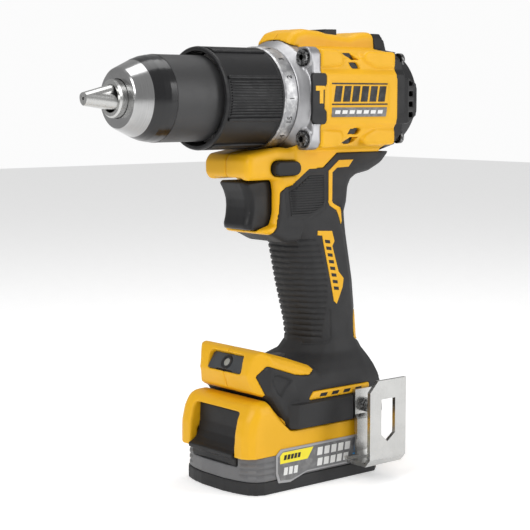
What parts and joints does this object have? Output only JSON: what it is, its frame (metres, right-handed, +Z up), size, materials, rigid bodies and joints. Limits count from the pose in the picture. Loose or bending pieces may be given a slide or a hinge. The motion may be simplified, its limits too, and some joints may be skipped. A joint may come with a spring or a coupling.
{
  "type": "cordless drill",
  "caption": "Compact cordless hammer drill with keyless chuck, torque collar, soft grip, foot lamp, belt hook and slide battery.",
  "frame": {"origin": "centre of the battery's foot face, which the drill stands on", "axes": "+Z up, chuck towards -X with its axis parallel to X, -Y is the drill's left side with the belt hook"},
  "size_m": [0.193, 0.0816, 0.2295],
  "materials": {
    "yellow_plastic": "satin moulded",
    "soft_grip": "fine texture",
    "black_plastic": "satin moulded",
    "grey_plastic": "satin moulded",
    "cast_metal": "bead blasted",
    "bright_steel": "ground",
    "chuck_black": "oxide",
    "black_screw": "oxide",
    "gear_steel": "sintered",
    "copper": "enamelled",
    "clear_lens": "clear",
    "board": "printed circuit"
  },
  "bodies": {
    "root": {"housing_left": "yellow_plastic", "housing_right": "yellow_plastic", "grip_left": "soft_grip", "grip_right": "soft_grip", "gear_case": "cast_metal", "gear_case_screws": "black_screw", "motor_plate": "cast_metal", "ring_gears_fixed": "gear_steel", "ball_bearings": "bright_steel", "ratchet_fixed": "gear_steel", "stator": "copper", "rear_cap": "black_plastic", "case_screws": "black_screw", "side_badges": "black_plastic", "switch_module": "black_plastic", "terminal_block": "black_plastic", "lamp_lens": "clear_lens", "lamp_board": "board", "belt_hook": "bright_steel", "hook_screw": "black_screw", "clutch_spring": "bright_steel"},
    "spindle": {"spindle": "gear_steel", "ratchet_turning": "gear_steel", "chuck_body": "bright_steel", "chuck_screw": "black_screw"},
    "sleeve": {"chuck_sleeve": "chuck_black", "chuck_nut": "gear_steel"},
    "jaw_1": {"jaw_1": "bright_steel"},
    "jaw_2": {"jaw_2": "bright_steel"},
    "jaw_3": {"jaw_3": "bright_steel"},
    "carrier_2": {"carrier_2": "gear_steel"},
    "carrier_1": {"carrier_1": "gear_steel"},
    "rotor": {"rotor_shaft": "bright_steel", "rotor": "gear_steel", "cooling_fan": "black_plastic"},
    "collar": {"torque_collar": "black_plastic", "torque_ring": "cast_metal"},
    "clutch_nut": {"clutch_nut": "gear_steel"},
    "shift": {"speed_slider": "black_plastic", "shift_wire": "bright_steel", "ring_gear_shift": "gear_steel"},
    "trigger": {"trigger": "black_plastic"},
    "direction_bar": {"direction_bar": "black_plastic"},
    "lamp_switch": {"lamp_switch": "black_plastic"},
    "battery": {"battery_base": "soft_grip", "battery_lower_case": "grey_plastic", "battery_top_case": "yellow_plastic", "cell_stack": "grey_plastic", "battery_board": "board"},
    "battery_latch": {"battery_latch": "black_plastic"},
    "gauge_button": {"gauge_button": "black_plastic"},
    "planet_1_1": {"planet_1_1": "gear_steel"},
    "planet_1_2": {"planet_1_2": "gear_steel"},
    "planet_1_3": {"planet_1_3": "gear_steel"},
    "planet_2_1": {"planet_2_1": "gear_steel"},
    "planet_2_2": {"planet_2_2": "gear_steel"},
    "planet_2_3": {"planet_2_3": "gear_steel"},
    "planet_3_1": {"planet_3_1": "gear_steel"},
    "planet_3_2": {"planet_3_2": "gear_steel"},
    "planet_3_3": {"planet_3_3": "gear_steel"}
  },
  "joints": [
    {"name": "spindle_spin", "type": "hinge", "parent": "root", "child": "spindle", "pos_m": [0, 0, 0.194], "axis": [1, 0, 0], "continuous": true},
    {"name": "carrier_2_spin", "type": "hinge", "parent": "root", "child": "carrier_2", "pos_m": [0, 0, 0.194], "axis": [1, 0, 0], "continuous": true},
    {"name": "carrier_1_spin", "type": "hinge", "parent": "root", "child": "carrier_1", "pos_m": [0, 0, 0.194], "axis": [1, 0, 0], "continuous": true},
    {"name": "rotor_spin", "type": "hinge", "parent": "root", "child": "rotor", "pos_m": [0, 0, 0.194], "axis": [1, 0, 0], "continuous": true},
    {"name": "planet_1_1_spin", "type": "hinge", "parent": "carrier_1", "child": "planet_1_1", "pos_m": [0, 0, 0.2048], "axis": [1, 0, 0], "continuous": true},
    {"name": "planet_1_2_spin", "type": "hinge", "parent": "carrier_1", "child": "planet_1_2", "pos_m": [0, 0.00935, 0.1886], "axis": [1, 0, 0], "continuous": true},
    {"name": "planet_1_3_spin", "type": "hinge", "parent": "carrier_1", "child": "planet_1_3", "pos_m": [0, -0.00935, 0.1886], "axis": [1, 0, 0], "continuous": true},
    {"name": "planet_2_1_spin", "type": "hinge", "parent": "carrier_2", "child": "planet_2_1", "pos_m": [0, 0, 0.2048], "axis": [1, 0, 0], "continuous": true},
    {"name": "planet_2_2_spin", "type": "hinge", "parent": "carrier_2", "child": "planet_2_2", "pos_m": [0, 0.00935, 0.1886], "axis": [1, 0, 0], "continuous": true},
    {"name": "planet_2_3_spin", "type": "hinge", "parent": "carrier_2", "child": "planet_2_3", "pos_m": [0, -0.00935, 0.1886], "axis": [1, 0, 0], "continuous": true},
    {"name": "planet_3_1_spin", "type": "hinge", "parent": "spindle", "child": "planet_3_1", "pos_m": [0, 0, 0.2048], "axis": [1, 0, 0], "continuous": true},
    {"name": "planet_3_2_spin", "type": "hinge", "parent": "spindle", "child": "planet_3_2", "pos_m": [0, 0.00935, 0.1886], "axis": [1, 0, 0], "continuous": true},
    {"name": "planet_3_3_spin", "type": "hinge", "parent": "spindle", "child": "planet_3_3", "pos_m": [0, -0.00935, 0.1886], "axis": [1, 0, 0], "continuous": true},
    {"name": "sleeve_turn", "type": "hinge", "parent": "spindle", "child": "sleeve", "pos_m": [0, 0, 0.194], "axis": [1, 0, 0], "range_deg": [0, 3780]},
    {"name": "jaw_1_slide", "type": "slide", "parent": "spindle", "child": "jaw_1", "axis": [0.9703, 0, 0.2419], "range_m": [0, 0.0235]},
    {"name": "jaw_2_slide", "type": "slide", "parent": "spindle", "child": "jaw_2", "axis": [0.9703, -0.2095, -0.121], "range_m": [0, 0.0235]},
    {"name": "jaw_3_slide", "type": "slide", "parent": "spindle", "child": "jaw_3", "axis": [0.9703, 0.2095, -0.121], "range_m": [0, 0.0235]},
    {"name": "collar_turn", "type": "hinge", "parent": "root", "child": "collar", "pos_m": [0, 0, 0.194], "axis": [1, 0, 0], "range_deg": [0, 300]},
    {"name": "clutch_nut_slide", "type": "slide", "parent": "root", "child": "clutch_nut", "axis": [1, 0, 0], "range_m": [0, 0.006], "deforming": ["clutch_spring"]},
    {"name": "speed_shift", "type": "slide", "parent": "root", "child": "shift", "axis": [1, 0, 0], "range_m": [0, 0.005]},
    {"name": "trigger_pull", "type": "slide", "parent": "root", "child": "trigger", "axis": [1, 0, 0], "range_m": [0, 0.0065], "stiffness_N_per_m": 600, "springref_m": -0.002},
    {"name": "direction_push", "type": "slide", "parent": "root", "child": "direction_bar", "axis": [0, 1, 0], "range_m": [-0.003, 0.003]},
    {"name": "lamp_switch_slide", "type": "slide", "parent": "root", "child": "lamp_switch", "axis": [0, 1, 0], "range_m": [-0.0025, 0.0025]},
    {"name": "battery_slide", "type": "slide", "parent": "root", "child": "battery", "axis": [-1, 0, 0], "range_m": [0, 0.095]},
    {"name": "battery_latch_press", "type": "slide", "parent": "battery", "child": "battery_latch", "axis": [1, 0, 0], "range_m": [0, 0.0025], "stiffness_N_per_m": 800, "springref_m": -0.001},
    {"name": "gauge_button_press", "type": "slide", "parent": "battery", "child": "gauge_button", "axis": [0, -1, 0], "range_m": [0, 0.0008], "stiffness_N_per_m": 600, "springref_m": -0.0005}
  ],
  "couplings": [
    {"joint": "carrier_2_spin", "follows": "spindle_spin", "ratio": 3.6},
    {"joint": "carrier_1_spin", "follows": "spindle_spin", "ratio": 12.96},
    {"joint": "rotor_spin", "follows": "spindle_spin", "ratio": 46.656},
    {"joint": "planet_1_1_spin", "follows": "spindle_spin", "ratio": -42.12},
    {"joint": "planet_1_2_spin", "follows": "spindle_spin", "ratio": -42.12},
    {"joint": "planet_1_3_spin", "follows": "spindle_spin", "ratio": -42.12},
    {"joint": "planet_2_1_spin", "follows": "spindle_spin", "ratio": -11.7},
    {"joint": "planet_2_2_spin", "follows": "spindle_spin", "ratio": -11.7},
    {"joint": "planet_2_3_spin", "follows": "spindle_spin", "ratio": -11.7},
    {"joint": "planet_3_1_spin", "follows": "spindle_spin", "ratio": -3.25},
    {"joint": "planet_3_2_spin", "follows": "spindle_spin", "ratio": -3.25},
    {"joint": "planet_3_3_spin", "follows": "spindle_spin", "ratio": -3.25},
    {"joint": "jaw_1_slide", "follows": "sleeve_turn", "m_per_rad": 0.00035605},
    {"joint": "jaw_2_slide", "follows": "sleeve_turn", "m_per_rad": 0.00035605},
    {"joint": "jaw_3_slide", "follows": "sleeve_turn", "m_per_rad": 0.00035605},
    {"joint": "clutch_nut_slide", "follows": "collar_turn", "m_per_rad": 0.001144}
  ]
}
